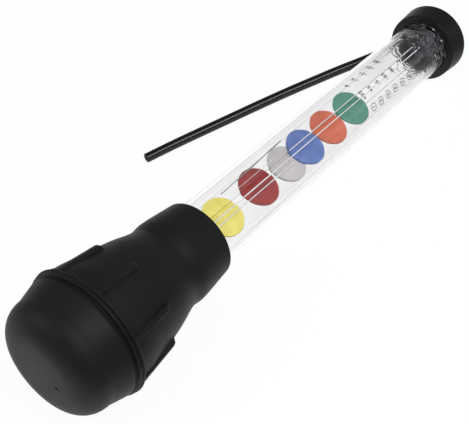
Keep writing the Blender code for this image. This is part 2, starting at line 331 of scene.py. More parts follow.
def grid_faces(rows, columns, wrap_rows, wrap_columns):
    """The quads between neighbouring rows and columns of a grid of points."""
    down = np.arange(rows if wrap_rows else rows - 1)
    over = np.arange(columns if wrap_columns else columns - 1)
    row, column = np.meshgrid(down, over, indexing="ij")
    next_row = (row + 1) % rows
    next_column = (column + 1) % columns
    corners = [row * columns + column, next_row * columns + column,
               next_row * columns + next_column, row * columns + next_column]
    return np.stack(corners, axis=-1).reshape(-1, 4)


def add_piece(name, mesh, material, body, replaced=()):
    """Put a finished mesh in the scene at the origin with its material, tie it to its body and hide the CAD
    nodes it replaces.
    """
    piece = bpy.data.objects.new(name, mesh)
    bpy.context.scene.collection.objects.link(piece)
    mesh.materials.append(material)
    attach(piece, body)
    if replaced:
        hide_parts(*replaced)
    return piece


def grid_piece(name, points, material, body, replaced, wrap_rows=False):
    """A piece whose surface is one grid of world points, closed round its columns."""
    rows, columns = points.shape[:2]
    faces = grid_faces(rows, columns, wrap_rows, True)
    return add_piece(name, build_mesh(name, points.reshape(-1, 3), faces), material, body, replaced)


def capped(name, points):
    """A mesh from a grid of points whose rows are closed loops, with flat ends."""
    rows, columns = points.shape[:2]
    faces = grid_faces(rows, columns, False, True).tolist()
    faces.append(list(range(columns)))
    faces.append(list(range((rows - 1) * columns, rows * columns))[::-1])
    return build_mesh(name, points.reshape(-1, 3), faces)


def flowing(points, steps):
    """A smooth curve through points, with some steps in each span: the Catmull-Rom cubic of the way through
    the span, whose slope at each point runs between its two neighbours."""
    points = np.array(points, float)
    padded = np.vstack([2 * points[0] - points[1], points, 2 * points[-1] - points[-2]])
    corners = (padded[:-3], padded[1:-2], padded[2:-1], padded[3:])
    a, b, c, d = (corner[:, None, :] for corner in corners)
    t = np.linspace(0, 1, steps, endpoint=False)[None, :, None]
    square = (2 * a - 5 * b + 4 * c - d) * t ** 2
    cube = (3 * b - a - 3 * c + d) * t ** 3
    curve = 0.5 * (2 * b + (c - a) * t + square + cube)
    return np.vstack([curve.reshape(-1, points.shape[1]), points[-1:]])


def straight(start, stop, steps):
    """Evenly spaced points from start to stop."""
    return np.linspace(start, stop, steps + 1)


def rounded(corner, before, after, radius, steps=5):
    """Points of a quarter arc that rounds one corner: the corner moved towards one neighbour by the radius
    times one less the sine of the turn, and towards the other by the radius times one less its cosine."""
    corner, before, after = (np.array(point, float) for point in (corner, before, after))
    first = (before - corner) / np.linalg.norm(before - corner) * radius
    last = (after - corner) / np.linalg.norm(after - corner) * radius
    turn = np.linspace(0, math.pi / 2, steps + 1)[:, None]
    return corner + first * (1 - np.sin(turn)) + last * (1 - np.cos(turn))


def softened(corners):
    """A closed outline whose corners are rounded, each by its own radius."""
    places = np.array([corner[:2] for corner in corners], float)
    parts = [rounded(places[i], places[i - 1], places[(i + 1) % len(places)], corners[i][2])
             for i in range(len(places))]
    return np.vstack(parts)


def outline(*parts):
    """Join stretches of (station, radius) points into one outline, leaving out repeated points."""
    joined = np.vstack([np.atleast_2d(part) for part in parts])
    steps = np.linalg.norm(np.diff(joined, axis=0), axis=1)
    return joined[np.concatenate([[True], steps > merge_distance])]


def round_angles(columns):
    """Even angles of a full turn, as a row."""
    return np.linspace(0, 2 * math.pi, columns, endpoint=False)[None, :]


def turned_points(profile, columns):
    """Points of an outline turned about the long axis."""
    return round_place(profile[:, :1], profile[:, 1:], round_angles(columns))


# Material tools

def new_material(name):
    """An empty node material with its output."""
    material = bpy.data.materials.new(name)
    material.use_nodes = True
    tree = material.node_tree
    tree.nodes.clear()
    output = tree.nodes.new("ShaderNodeOutputMaterial")
    return material, tree, output


def add_node(tree, kind, settings=None, links=None, **attributes):
    """A node with its attributes, input values and incoming links."""
    node = tree.nodes.new(kind)
    for key, value in attributes.items():
        setattr(node, key, value)
    for key, value in (settings or {}).items():
        node.inputs[key].default_value = value
    for key, source in (links or {}).items():
        tree.links.new(source, node.inputs[key])
    return node


def noise_of(tree, scale, detail=3.0, roughness=0.55):
    """The value of a noise on Object coordinates, finer with a larger scale."""
    source = add_node(tree, "ShaderNodeTexCoord").outputs["Object"]
    noise = add_node(tree, "ShaderNodeTexNoise", {"Scale": scale, "Detail": detail, "Roughness": roughness},
                     {"Vector": source})
    return noise.outputs["Fac"]


def ranged(tree, source, low, high, start=0.3, stop=0.7):
    """A value carried from the start-stop range to the low-high range."""
    node = add_node(tree, "ShaderNodeMapRange",
                    {"From Min": start, "From Max": stop, "To Min": low, "To Max": high}, {"Value": source})
    return node.outputs["Result"]


def blended(tree, factor, first, second):
    """A colour between two colours."""
    node = add_node(tree, "ShaderNodeMix", data_type="RGBA")
    node.inputs[6].default_value = (*first, 1.0)
    node.inputs[7].default_value = (*second, 1.0)
    tree.links.new(factor, node.inputs[0])
    return node.outputs[2]


def bumped(tree, height, strength, distance, before=None):
    """A normal from a height, on top of the normal before it."""
    node = add_node(tree, "ShaderNodeBump", {"Strength": strength, "Distance": distance}, {"Height": height})
    if before is not None:
        tree.links.new(before, node.inputs["Normal"])
    return node.outputs["Normal"]


def combined(tree, operation, first, second):
    """Two values joined by a sum, product or the like; a plain number may stand for either."""
    node = add_node(tree, "ShaderNodeMath", operation=operation)
    for socket, value in zip(node.inputs, (first, second)):
        if isinstance(value, float):
            socket.default_value = value
        else:
            tree.links.new(value, socket)
    return node.outputs[0]


def towards(tree, source, side):
    """How far a place or a direction lies to one side: its share along a unit vector."""
    node = add_node(tree, "ShaderNodeVectorMath", {1: side}, {0: source}, operation="DOT_PRODUCT")
    return node.outputs["Value"]


def bounced(path):
    """Whether a ray comes from a glossy reflection or through clear plastic."""
    return combined(path.id_data, "MAXIMUM", path.outputs["Is Glossy Ray"],
                    path.outputs["Is Transmission Ray"])


def lit_through(tree, shader, output):
    """Finish a clear plastic, and let the light of the lamps go straight through it."""
    passing = add_node(tree, "ShaderNodeBsdfTransparent", {"Color": clear_shadow})
    path = add_node(tree, "ShaderNodeLightPath")
    mix = add_node(tree, "ShaderNodeMixShader", None,
                   {0: path.outputs["Is Shadow Ray"], 1: shader.outputs[0], 2: passing.outputs[0]})
    tree.links.new(mix.outputs[0], output.inputs["Surface"])


def rubber(name, dark, light, shine, gloss, grain):
    """Moulded black rubber: faint mottling, a fine pitted grain and uneven satin gloss."""
    material, tree, output = new_material(name)
    patches = noise_of(tree, 45.0, 4.0)
    pits = noise_of(tree, 2600.0, 2.0, 0.6)
    swells = noise_of(tree, 160.0, 2.0)
    normal = bumped(tree, pits, 0.35, grain)
    normal = bumped(tree, swells, 0.25, grain * 6, normal)
    shader = add_node(tree, "ShaderNodeBsdfPrincipled", {"IOR": 1.5, "Specular IOR Level": shine},
                      {"Base Color": blended(tree, ranged(tree, patches, 0, 1), dark, light),
                       "Roughness": ranged(tree, patches, gloss[0], gloss[1]), "Normal": normal})
    tree.links.new(shader.outputs[0], output.inputs["Surface"])
    return material


def clear_plastic(name, tint, gloss, bend, wave, swirl=0.0):
    """Clear moulded plastic that bends light, with faint streaks along the barrel and, near the cap,
    moulding swirls; lamps shine through it."""
    material, tree, output = new_material(name)
    place = add_node(tree, "ShaderNodeTexCoord").outputs["Object"]
    turned = add_node(tree, "ShaderNodeMapping",
                      {"Rotation": (0.0, tilt, 0.0), "Scale": (streak_stretch, 1.0, 1.0)},
                      {"Vector": place}, vector_type="TEXTURE")
    streaks = add_node(tree, "ShaderNodeTexNoise", {"Scale": streak_scale, "Detail": 2.0},
                       {"Vector": turned.outputs[0]})
    normal = bumped(tree, streaks.outputs["Fac"], 0.5, wave)
    if swirl:
        station = combined(tree, "SUBTRACT", towards(tree, place, tuple(axis_along)),
                           float(mouth_place @ axis_along))
        marks = add_node(tree, "ShaderNodeTexNoise",
                         {"Scale": swirl_scale, "Detail": 2.0, "Distortion": 1.6}, {"Vector": place})
        height = combined(tree, "MULTIPLY", marks.outputs["Fac"],
                          ranged(tree, station, 0.0, 1.0, swirl_start, swirl_full))
        normal = bumped(tree, height, 1.0, swirl, normal)
    shader = add_node(tree, "ShaderNodeBsdfPrincipled",
                      {"Base Color": (*tint, 1.0), "Roughness": gloss, "IOR": bend,
                       "Transmission Weight": 1.0}, {"Normal": normal})
    lit_through(tree, shader, output)
    return material


def faceted_plastic(name, tint):
    """Clear plastic whose many small moulded faces bend light every way: a cell pattern raised as a bump."""
    material, tree, output = new_material(name)
    place = add_node(tree, "ShaderNodeTexCoord").outputs["Object"]
    cells = add_node(tree, "ShaderNodeTexVoronoi", {"Scale": facet_scale}, {"Vector": place})
    normal = bumped(tree, cells.outputs["Distance"], 1.0, facet_depth)
    shader = add_node(tree, "ShaderNodeBsdfPrincipled",
                      {"Base Color": (*tint, 1.0), "Roughness": 0.03, "IOR": 1.47,
                       "Transmission Weight": 0.9}, {"Normal": normal})
    lit_through(tree, shader, output)
    return material


def painted_strip_plastic(name, deep, pale):
    """Opaque cloudy plastic for the painted light strips: white for painted highlights, grey for painted
    shade.
    """
    material, tree, output = new_material(name)
    cloud = noise_of(tree, 900.0, 3.0)
    shader = add_node(tree, "ShaderNodeBsdfPrincipled", {"IOR": 1.49},
                      {"Base Color": blended(tree, ranged(tree, cloud, 0, 1), deep, pale),
                       "Roughness": ranged(tree, cloud, 0.15, 0.3)})
    tree.links.new(shader.outputs[0], output.inputs["Surface"])
    return material


def disc_plastic(name, deep, pale):
    """Opaque dyed plastic with a soft mottling and a fine moulded grain."""
    material, tree, output = new_material(name)
    patches = noise_of(tree, 240.0, 4.0, 0.6)
    grain = noise_of(tree, 3000.0, 2.0, 0.5)
    shader = add_node(tree, "ShaderNodeBsdfPrincipled", {"IOR": 1.5, "Specular IOR Level": 0.35},
                      {"Base Color": blended(tree, ranged(tree, patches, 0, 1), deep, pale),
                       "Roughness": ranged(tree, patches, 0.36, 0.5),
                       "Normal": bumped(tree, grain, 0.2, 0.00002)})
    tree.links.new(shader.outputs[0], output.inputs["Surface"])
    return material


def printed_ink(name, deep, pale):
    """Screen-printed ink, dark grey and slightly uneven."""
    material, tree, output = new_material(name)
    specks = noise_of(tree, 2200.0, 3.0, 0.6)
    shader = add_node(tree, "ShaderNodeBsdfPrincipled", {"Specular IOR Level": 0.3, "Roughness": 0.6},
                      {"Base Color": blended(tree, ranged(tree, specks, 0, 1), deep, pale)})
    tree.links.new(shader.outputs[0], output.inputs["Surface"])
    return material


# Camera

def make_camera():
    """The photograph's viewing point, from the camera that fits the tester's outlines."""
    focal_pixels = 904.9
    image_width = 469.0
    sensor_width = 36.0
    viewpoint = (-0.23235, -0.22173, 0.19724)
    right = (0.600569, -0.753972, -0.266163)
    up = (0.553195, 0.151464, 0.819167)
    back = (-0.577315, -0.639206, 0.508058)
    data = bpy.data.cameras.new("view")
    data.sensor_fit = "HORIZONTAL"
    data.sensor_width = sensor_width
    data.lens = focal_pixels * sensor_width / image_width
    data.clip_start = 0.01
    camera = bpy.data.objects.new("view", data)
    bpy.context.scene.collection.objects.link(camera)
    camera.matrix_world = Matrix([*zip(right, up, back, viewpoint), (0, 0, 0, 1)])
    bpy.context.scene.camera = camera


# Hose

def route_line(route, step):
    """Evenly spaced points on the natural cubic spline through the route, held at or above the surface."""
    points = np.array(route)
    steps = np.linalg.norm(np.diff(points, axis=0), axis=1)
    knots = np.concatenate([[0], np.cumsum(steps)])
    count = len(points)
    rows = np.eye(count)
    bends = np.zeros((count, 3))
    slopes = np.diff(points, axis=0) / steps[:, None]
    for i in range(1, count - 1):
        rows[i, i - 1:i + 2] = steps[i - 1], 2 * (steps[i - 1] + steps[i]), steps[i]
        bends[i] = 6 * (slopes[i] - slopes[i - 1])
    second = np.linalg.solve(rows, bends)
    fine = np.linspace(0, knots[-1], round(knots[-1] / step) + 1)
    left = np.clip(np.searchsorted(knots, fine, side="right") - 1, 0, count - 2)
    width = steps[left][:, None]
    b = (fine - knots[left])[:, None] / width
    a = 1 - b
    curve = a * points[left] + b * points[left + 1]
    curve += ((a ** 3 - a) * second[left] + (b ** 3 - b) * second[left + 1]) * width ** 2 / 6
    curve[:, 2] = np.maximum(curve[:, 2], hose_radius)
    return curve


def route_sides(line):
    """The level side direction and the upward direction square to a line at each of its points."""
    heading = np.gradient(line, axis=0)
    heading /= np.linalg.norm(heading, axis=1)[:, None]
    side = np.cross(heading, (0.0, 0.0, 1.0))
    side /= np.linalg.norm(side, axis=1)[:, None]
    return side, np.cross(side, heading)


def hose_material(deep, pale):
    """Glossy extruded black tube with faint drawn lines along it, on the tube's own coordinates."""
    material, tree, output = new_material("hose_black")
    around = add_node(tree, "ShaderNodeUVMap", uv_map="tube")
    drawn = add_node(tree, "ShaderNodeMapping", {"Scale": (0.6, 26.0, 1.0)},
                     {"Vector": around.outputs["UV"]})
    lines = add_node(tree, "ShaderNodeTexNoise", {"Scale": 3.0, "Detail": 3.0},
                     {"Vector": drawn.outputs["Vector"]})
    dust = noise_of(tree, 700.0, 3.0)
    shader = add_node(tree, "ShaderNodeBsdfPrincipled", {"IOR": 1.5, "Specular IOR Level": 0.3},
                      {"Base Color": blended(tree, ranged(tree, dust, 0, 1), deep, pale),
                       "Roughness": ranged(tree, lines.outputs["Fac"], 0.15, 0.20),
                       "Normal": bumped(tree, lines.outputs["Fac"], 0.1, 0.00001)})
    tree.links.new(shader.outputs[0], output.inputs["Surface"])
    return material


def make_hose():
    """The hose: a circle carried along its route, turned in at the bare end to a bore."""
    line = route_line(hose_route, hose_step)
    side, upward = route_sides(line)
    turn = np.linspace(0, math.pi / 2, 5)
    inward = hose_lip * (1 - np.sin(turn))
    sideways = hose_lip * (1 - np.cos(turn))
    bore_depths = [hose_bore_depth / 2, hose_bore_depth, hose_bore_depth]
    depth = np.concatenate([inward, inward[::-1], bore_depths])
    radius = np.concatenate([hose_radius - sideways, hose_bore + sideways[::-1],
                             [hose_bore, hose_bore, 0.0]])
    length = hose_step * (len(line) - 1)
    covered = np.arange(len(line)) * hose_step
    keep = covered < length - hose_lip - hose_step / 2
    stations = np.concatenate([covered[:1], covered[keep], length - depth])
    radii = np.concatenate([[0.0], np.full(keep.sum(), hose_radius), radius])
    middle, aside, up = (np.stack([np.interp(stations, covered, vectors[:, k]) for k in range(3)], axis=1)
                         for vectors in (line, side, upward))
    angles = round_angles(hose_columns)[..., None]
    ring_points = np.cos(angles) * aside[:, None, :] + np.sin(angles) * up[:, None, :]
    points = middle[:, None, :] + radii[:, None, None] * ring_points
    material = hose_material(deep=(0.005, 0.005, 0.006), pale=(0.009, 0.009, 0.010))
    hose = grid_piece("hose_tube", points, material, "tester", ["hose"])
    add_tube_map(hose.data, line)
    hose.visible_transmission = False


def add_tube_map(mesh, line):
    """A UV map on the hose: u is the way along it in metres times a hundred, v the angle round it in
    turns."""
    corners = np.zeros(len(mesh.loops), np.int32)
    mesh.loops.foreach_get("vertex_index", corners)
    points = np.zeros(len(mesh.vertices) * 3)
    mesh.vertices.foreach_get("co", points)
    points = points.reshape(-1, 3)
    nearest = ((points[:, None, :] - line[None, :, :]) ** 2).sum(axis=2).argmin(axis=1)
    side, upward = route_sides(line)
    out = points - line[nearest]
    angle = np.arctan2((out * upward[nearest]).sum(1), (out * side[nearest]).sum(1)) / (2 * math.pi)
    along = nearest * hose_step * 100
    values = np.stack([along[corners], np.abs(angle[corners])], axis=1)
    layer = mesh.uv_layers.new(name="tube")
    layer.data.foreach_set("uv", values.astype(np.float32).ravel())


# Squeeze bulb

def sleeve_curve():
    """The sleeve's outline from just behind its mouth to the waist: a smooth curve through shares of the
    length and of the bead's rise."""
    points = [(-mouth_rounding, mouth_radius)]
    points += [(along * waist_station, mouth_radius + thick * (bead_wall - mouth_wall))
               for along, thick in sleeve_shares]
    return flowing(points, 6)


def shoulder_curve():
    """The shoulder's outline from the waist to the flange: a smooth curve through shares of the length and
    of the rise."""
    points = [(waist_station, waist_radius)]
    points += [(waist_station - along * shoulder_length,
                waist_radius + up * (shoulder_radius - waist_radius))
               for along, up in shoulder_shares]
    return flowing(points, 6)


def flange_curve():
    """The flange's outline, a smooth curve: two ridges and the groove between them, as the flange's radius
    less shares of the groove and of the rear drop, then the bulb's small groove."""
    points = [(flange_front, shoulder_radius + flange_root_lift)]
    points += [(flange_front - along * flange_thickness,
                flange_radius - deep * flange_groove_depth - drop * flange_rear_drop)
               for along, deep, drop in flange_shares]
    points += [(flange_rear - along, bulb_radius - deep * bulb_groove_depth) for along, deep in bulb_groove]
    return flowing(points, 3)


def corner_curve(inset, steps):
    """The corner between cone and end face, at some depth under the surface: a superellipse quarter, from
    the sine and the cosine of the turn, each to the power of two over the corner's power."""
    turn = np.linspace(0, math.pi / 2, steps + 1)
    along = np.sin(turn) ** (2 / corner_power)
    up = np.cos(turn) ** (2 / corner_power)
    low = end_face_radius - inset
    stations = cone_end - along * (corner_depth - inset)
    return np.stack([stations, low + up * (cone_end_radius - inset - low)], axis=1)


def bulb_profile():
    """The bulb's whole outline: from the mouth along the outside to the end face, then back inside."""
    mouth = rounded((0, mouth_radius), (0, sleeve_bore), (waist_station, mouth_radius), mouth_rounding)
    cone_start = (flange_rear - bulb_groove[-1][0], bulb_radius)
    inner_end = bulb_end + bulb_wall
    ledge_end = ledge_start - ledge_length
    inner = shoulder_curve()[::-4] - (0, bulb_wall)
    inner = inner[inner[:, 0] < ledge_end - bulb_wall]
    return outline(
        mouth, sleeve_curve(), shoulder_curve(), flange_curve(),
        straight(cone_start, (cone_end, cone_end_radius), 8), corner_curve(0, 30),
        straight((bulb_end, end_face_radius), (bulb_end, 0), 36),
        straight((inner_end, 0), (inner_end, end_face_radius - bulb_wall), 4),
        corner_curve(bulb_wall, 8)[::-1], [(flange_rear, bulb_radius - bulb_wall)], inner,
        [(ledge_end, barrel_bore), (ledge_start, barrel_bore), (ledge_start, sleeve_bore), (0, sleeve_bore)])


def rib_angles():
    """Angles round the bulb, close together over each rib's edges and wider between the ribs."""
    half = (rib_width / 2 + rib_fillet) / shoulder_radius
    near = np.linspace(-half, half, 15)
    between = np.linspace(half, rib_pitch - half, 19)[1:-1]
    one = np.concatenate([near, between])
    return np.concatenate([rib_first_angle + i * rib_pitch + one for i in range(rib_count)])


def with_ribs(profile, angles):
    """Radii of the bulb over outline and angles. On a rib the radius follows a straight top edge from the
    flange to near the tip, then a quarter ellipse down to the shoulder, and a smooth step over the fillet
    joins the rib's sides to the shoulder."""
    station, radius = profile[:, 0], profile[:, 1]
    tip = flange_front + rib_length
    full = tip - rib_tip_slope
    shoulder = shoulder_curve()[::-1]
    at_full, at_tip = np.interp([full, tip], shoulder[:, 0], shoulder[:, 1])
    top_edge = np.interp(station, [flange_front, full],
                         [shoulder_radius + rib_root_height, at_full + rib_tip_height])
    past = np.clip((station - full) / (tip - full), 0, 1)
    slope = at_tip + (at_full + rib_tip_height - at_tip) * np.sqrt(1 - past ** 2)
    top = np.where(past > 0, slope, top_edge)
    outside = np.arange(len(profile)) < np.argmin(radius)
    ribbed = outside & (station > flange_front - rib_overlap) & (station < tip)
    offset = (angles - rib_first_angle + rib_pitch / 2) % rib_pitch - rib_pitch / 2
    aside = np.abs(offset)[None, :] * radius[:, None]
    weight = np.clip((rib_width / 2 + rib_fillet - aside) / rib_fillet, 0, 1)
    weight = weight * weight * (3 - 2 * weight)
    rise = np.where(ribbed, np.maximum(top - radius, 0), 0)[:, None] * weight
    return radius[:, None] + rise


def with_burr(profile, radii, angles):
    """Radii with a small burr left by the mould: a bell over the angle, only on the flange's rim."""
    away = (angles - burr_angle + math.pi) % (2 * math.pi) - math.pi
    bell = np.exp(-(away * flange_radius / burr_width) ** 2)
    on_rim = np.clip((profile[:, 1] - flange_radius + flange_groove_depth) / flange_groove_depth, 0, 1)
    return radii + burr_height * on_rim[:, None] * bell[None, :]


def nick_of(profile, angles):
    """How far the end face is dented at the nick: inside a long ellipse, the depth times the square of one
    less the squared distance from its middle, and none outside it."""
    on_face = np.abs(profile[:, :1] - bulb_end) < merge_distance
    side = profile[:, 1:] * np.cos(angles)[None, :] - nick_side
    high = profile[:, 1:] * np.sin(angles)[None, :] - nick_high
    along = (side * math.cos(nick_turn) + high * math.sin(nick_turn)) / nick_half_length
    across = (high * math.cos(nick_turn) - side * math.sin(nick_turn)) / nick_half_width
    away = np.clip(along ** 2 + across ** 2, 0, 1)
    return np.where(on_face, nick_depth * (1 - away) ** 2, 0)


def make_bulb():
    """The rubber bulb: an outline turned about the axis, with ribs and burr raised and the nick dented."""
    profile = bulb_profile()
    angles = rib_angles()
    radii = with_burr(profile, with_ribs(profile, angles), angles)
    points = round_place(profile[:, :1] + nick_of(profile, angles), radii, angles[None, :])
    material = rubber("bulb_rubber", dark=(0.007, 0.007, 0.0075), light=(0.011, 0.011, 0.012), shine=0.22,
                      gloss=(0.50, 0.60), grain=0.000012)
    grid_piece("bulb_shell", points, material, "tester", ["squeeze_bulb"], wrap_rows=True)


# End cap

def make_cap():
    """The rubber end cap with its collar: one closed outline turned about the axis."""
    mouth_low = (cap_mouth, cap_bore)
    mouth_high = (cap_mouth, cap_mouth_radius)
    rim = (cap_end, cap_rim_radius)
    foot = (cap_end, collar_radius)
    tip_high = (collar_end, collar_radius)
    tip_low = (collar_end, hose_bore)
    side_start = (cap_mouth + cap_rounding, cap_mouth_radius + cap_mouth_lift)
    side_end = (cap_end - cap_rounding, cap_rim_radius)
    profile = outline(
        straight((cap_floor, cap_bore), mouth_low, 4), rounded(mouth_high, mouth_low, rim, cap_rounding),
        straight(side_start, side_end, 8), rounded(rim, mouth_high, foot, cap_rounding),
        straight((cap_end, cap_rim_radius - cap_face_edge), foot, 6),
        rounded(tip_high, foot, tip_low, collar_rounding), [tip_low, (cap_floor, hose_bore)])
    material = rubber("cap_rubber", dark=(0.005, 0.005, 0.0055), light=(0.009, 0.009, 0.010), shine=0.25,
                      gloss=(0.38, 0.48), grain=0.00001)
    grid_piece("cap_shell", turned_points(profile, cap_columns), material, "tester",
               ["end_cap"], wrap_rows=True)


# Barrel, cage, stop and plug

def make_barrel():
    """The clear barrel: a closed outline with softened ends, drawn in where the cap sits, turned about the
    axis."""
    seat = barrel_radius - barrel_draft
    draft_start = cap_mouth - barrel_draft_length
    start_high = (barrel_start, barrel_radius)
    start_low = (barrel_start, barrel_bore)
    end_high = (barrel_end, seat)
    end_low = (barrel_end, barrel_bore)
    profile = outline(
        rounded(start_high, start_low, (0, barrel_radius), barrel_edge, 3),
        straight((0, barrel_radius), (draft_start, barrel_radius), 20),
        straight((draft_start, barrel_radius), (cap_mouth, seat), 6),
        rounded(end_high, (0, seat), end_low, barrel_edge, 3),
        rounded(end_low, end_high, (0, barrel_bore), barrel_edge, 3),
        straight((cap_mouth, barrel_bore), (0, barrel_bore), 24),
        rounded(start_low, (0, barrel_bore), start_high, barrel_edge, 3))
    material = clear_plastic("barrel_clear", tint=(1.0, 1.0, 1.0), gloss=0.0, bend=1.47, wave=0.00004,
                             swirl=0.0026)
    grid_piece("barrel_tube", turned_points(profile, barrel_columns), material, "tester",
               ["barrel"], wrap_rows=True)


def make_cage():
    """The clear flat channel round the discs: a C-shaped outline with full round sides, carried along."""
    wide, deep = cage_half_width, cage_half_depth
    inner_wide, inner_deep = channel_half_width, channel_half_depth
    side, edge = cage_side_radius, cage_edge_radius
    section = softened([
        (slot_high, deep, edge), (wide, deep, side), (wide, -deep, side), (-wide, -deep, side),
        (-wide, deep, side), (slot_low, deep, edge), (slot_low, inner_deep, edge),
        (-inner_wide, inner_deep, edge), (-inner_wide, -inner_deep, edge), (inner_wide, -inner_deep, edge),
        (inner_wide, inner_deep, edge), (slot_high, inner_deep, edge)])
    stations = np.linspace(cage_start, cage_end, 12)
    points = cage_place(stations[:, None], section[None, :, 0], section[None, :, 1])
    material = clear_plastic("cage_clear", tint=(0.995, 0.995, 1.0), gloss=0.02, bend=1.42, wave=0.00003)
    mesh = capped("cage_channel", points)
    add_piece("cage_channel", mesh, material, "tester", ["disc_cage"])


def make_painted_strips():
    """Painted light on the cage's front: white strips as painted highlights and a grey strip as painted
    shade. Each is a half ellipse carried along its own path, half its width times the cosine aside and its
    height times the sine up."""
    turn = np.linspace(0, math.pi, 9)[None, :]
    out = cage_half_depth + bead_gap + bead_height * np.sin(turn)
    # Painted highlight in white, painted edge shade in grey
    white = painted_strip_plastic("cage_highlight_strip", deep=(0.92, 0.92, 0.93), pale=(1.0, 1.0, 1.0))
    grey = painted_strip_plastic("cage_edge", deep=(0.22, 0.22, 0.23), pale=(0.36, 0.36, 0.38))
    for i, (width, path) in enumerate([*cage_highlight_strips, edge_shade_strip]):
        name = "cage_bead_%d" % (i + 1)
        line = flowing(path, 8)
        heading = np.gradient(line, axis=0)
        heading /= np.linalg.norm(heading, axis=1)[:, None]
        aside = width / 2 * np.cos(turn)
        points = cage_place(line[:, :1] - heading[:, 1:] * aside, line[:, 1:] + heading[:, :1] * aside, out)
        material = white if i < len(cage_highlight_strips) else grey
        add_piece(name, capped(name, points), material, "tester")


def make_fingers():
    """Clear fingers round the cage's end: thin slabs with a rounded front corner, each from the cage out to
    a circle about the axis."""
    material = clear_plastic("finger_clear", tint=(0.97, 0.97, 0.98), gloss=0.02, bend=1.45, wave=0.00003)
    low = cage_half_depth + bead_gap
    for i, (across, side) in enumerate(finger_places):
        name = "plug_finger_%d" % (i + 1)
        reach = math.sqrt(finger_reach ** 2 - across ** 2)
        shape = softened([(finger_end, side * low, finger_edge), (finger_start, side * low, finger_edge),
                          (finger_start, side * reach, finger_rounding),
                          (finger_end, side * reach, finger_edge)])
        edges = across + finger_width / 2 * np.array([-1.0, 1.0])
        points = cage_place(shape[None, :, 0], edges[:, None], shape[None, :, 1])
        add_piece(name, capped(name, points), material, "tester")


def dress_plates():
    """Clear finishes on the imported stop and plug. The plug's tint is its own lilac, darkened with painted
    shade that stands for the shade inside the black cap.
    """
    stop = clear_plastic("stop_clear", tint=(0.97, 0.97, 0.975), gloss=0.04, bend=1.47, wave=0.00002)
    # Painted shade: the plug's lilac tint is darkened to stand for the shade inside the black cap round it
    plug = faceted_plastic("plug_clear", tint=(0.34, 0.33, 0.42))
    for node, material in (("disc_stop", stop), ("inlet_plug", plug)):
        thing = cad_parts[node]
        thing.data.materials.clear()
        thing.data.materials.append(material)


# Discs

def make_disc(colour, station, row, deep, pale):
    """One float disc: a rounded rim profile turned about the disc's own middle."""
    half = disc_thickness / 2
    profile = outline(straight((0, half), (disc_radius - disc_edge, half), 5),
                      rounded((disc_radius, half), (0, half), (disc_radius, -half), disc_edge),
                      rounded((disc_radius, -half), (disc_radius, half), (0, -half), disc_edge),
                      straight((disc_radius - disc_edge, -half), (0, -half), 5))
    angles = round_angles(disc_columns)
    points = cage_place(station + profile[:, :1] * np.cos(angles), profile[:, :1] * np.sin(angles),
                        row * row_height + profile[:, 1:])
    node = "disc_" + colour
    slot = node + "_plastic"
    grid_piece("float_" + colour, points, disc_plastic(slot, deep, pale), colour, [node])


# Printed scale

def wrapped(u, v, w, station, arc):
    """World points of a flat print wrapped on the barrel: v runs towards the bulb, u round it, w out."""
    radius = barrel_radius + ink_lift + w
    return round_place(station - v, radius, front_angle - (arc + u) / barrel_radius)


def figures(text, height, station, arc):
    """Points and faces of a line of figures, made from a text curve and wrapped on the barrel."""
    curve = bpy.data.curves.new("figures", "FONT")
    curve.body = text
    curve.size = height
    curve.align_x = "CENTER"
    curve.align_y = "CENTER"
    curve.extrude = ink_half
    curve.offset = ink_spread
    curve.resolution_u = 4
    thing = bpy.data.objects.new("figures", curve)
    mesh = bpy.data.meshes.new_from_object(thing)
    places = np.zeros(len(mesh.vertices) * 3)
    mesh.vertices.foreach_get("co", places)
    places = places.reshape(-1, 3)
    faces = [list(face.vertices) for face in mesh.polygons]
    bpy.data.objects.remove(thing)
    return wrapped(places[:, 0], places[:, 1], places[:, 2], station, arc), faces


def strip(width, length, station, arc):
    """Points and faces of a thin printed bar that runs from its station towards the cap."""
    u = width / 2 * np.array([-1.0, 1.0])[:, None]
    v = length * np.array([-1.0, 0.0, 0.0, -1.0])[None, :]
    w = ink_half * np.array([1.0, 1.0, -1.0, -1.0])[None, :]
    faces = grid_faces(2, 4, False, True).tolist() + [[0, 1, 2, 3], [7, 6, 5, 4]]
    return wrapped(u, v, w, station, arc).reshape(-1, 3), faces


def ring(radius, line, station, arc):
    """Points and faces of a thin printed circle: a flat four-cornered section carried round it."""
    turn = round_angles(ring_columns).T
    r = radius + line / 2 * np.array([-1.0, 1.0, 1.0, -1.0])[None, :]
    w = ink_half * np.array([1.0, 1.0, -1.0, -1.0])[None, :]
    points = wrapped(r * np.cos(turn), r * np.sin(turn), w, station, arc)
    return points.reshape(-1, 3), grid_faces(ring_columns, 4, True, True).tolist()


def make_scale():
    """The printed scale near the cap: a column of ringed figures, two columns of temperatures and a rule."""
    parts = []
    first, arc = ring_column
    for i in range(ring_count):
        station = first + i * scale_pitch
        parts.append(ring(ring_radius, ring_line, station, arc))
        parts.append(figures(str(i + 1), ring_figure_height, station, arc))
    for first, arc, texts in figure_columns:
        parts += [figures(text, figure_height, first + i * scale_pitch, arc) for i, text in enumerate(texts)]
    parts.append(strip(rule_width, rule_length, *rule_place))
    points = []
    faces = []
    base = 0
    for part, loops in parts:
        points.append(part)
        faces += [[base + corner for corner in loop] for loop in loops]
        base += len(part)
    mesh = build_mesh("scale_print", np.vstack(points), faces)
    ink = printed_ink("scale_ink", deep=(0.02, 0.02, 0.022), pale=(0.07, 0.07, 0.075))
    add_piece("scale_print", mesh, ink, "tester")


# Stage and light

